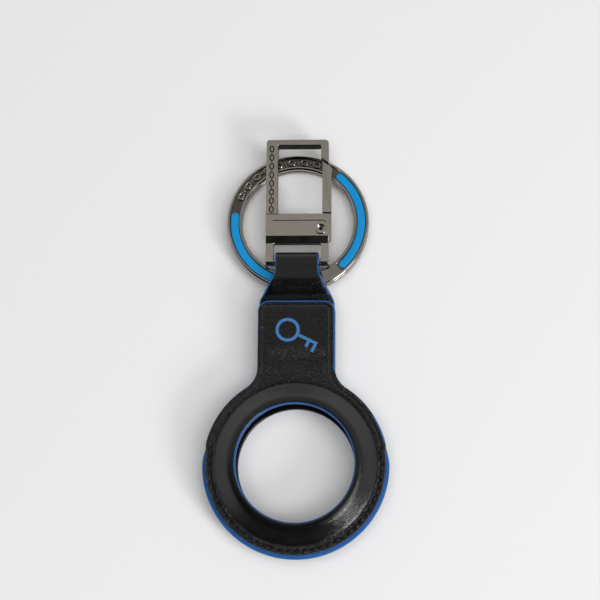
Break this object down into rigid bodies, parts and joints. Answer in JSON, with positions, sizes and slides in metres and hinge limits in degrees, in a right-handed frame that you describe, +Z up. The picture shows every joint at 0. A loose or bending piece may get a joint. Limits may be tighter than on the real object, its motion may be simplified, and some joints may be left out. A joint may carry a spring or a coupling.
{
  "type": "tracker tag key holder",
  "caption": "Ring-shaped leather pocket for a coin-size tracker tag, with a peel-open flap, a folded strap, a gated snap hook and a flat split ring with blue inlays.",
  "frame": {"origin": "under the middle of the whole holder, on the table that it lies on", "axes": "+Z up out of the front face, +Y from the round tag pocket to the hook's tip, +X to the right seen from the front"},
  "size_m": [0.0418, 0.0968, 0.0096],
  "materials": {
    "leather": "fine-grained black leather with a soft gloss and blue painted edges",
    "welt": "blue painted leather edge",
    "thread": "waxed black thread",
    "magnet": "nickel plated",
    "hook_metal": "satin dark nickel plate on a zinc casting",
    "spring_steel": "drawn spring wire",
    "ring_metal": "polished dark nickel plate on steel",
    "enamel": "blue enamel"
  },
  "bodies": {
    "holder": {"back_panel": "leather", "front_panel": "leather", "rim_welt": "welt", "front_stitching": "thread", "back_stitching": "thread", "strap_tail": "leather", "tail_stitching": "thread", "neck_stitching": "thread", "tail_magnet": "magnet"},
    "flap": {"front_flap": "leather", "flap_magnet": "magnet"},
    "strap": {"strap_loop": "leather"},
    "hook": {"hook_frame": "hook_metal", "gate_pin": "hook_metal", "gate_spring": "spring_steel"},
    "gate": {"hook_gate": "hook_metal"},
    "ring": {"key_ring": "ring_metal", "ring_inlay_left": "enamel", "ring_inlay_right": "enamel"}
  },
  "joints": [
    {"name": "flap_open", "type": "hinge", "parent": "holder", "child": "flap", "pos_m": [0, -0.02293, 0.0096], "axis": [1, 0, 0], "range_deg": [0, 60]},
    {"name": "strap_flex", "type": "hinge", "parent": "holder", "child": "strap", "pos_m": [0, 0.01077, 0.00408], "axis": [1, 0, 0], "range_deg": [-45, 30]},
    {"name": "hook_swing", "type": "hinge", "parent": "strap", "child": "hook", "pos_m": [0, 0.01932, 0.00533], "axis": [1, 0, 0], "range_deg": [0, 120]},
    {"name": "gate_open", "type": "hinge", "parent": "hook", "child": "gate", "pos_m": [0.00545, 0.02683, 0.00533], "axis": [0, 0, 1], "range_deg": [0, 22], "stiffness_Nm_per_rad": 0.01, "springref_deg": -45.84, "deforming": ["gate_spring"]},
    {"name": "ring_turn", "type": "hinge", "parent": "strap", "child": "ring", "pos_m": [0, 0.02937, 0.00242], "axis": [0, 0.0593, 0.9982], "continuous": true}
  ]
}
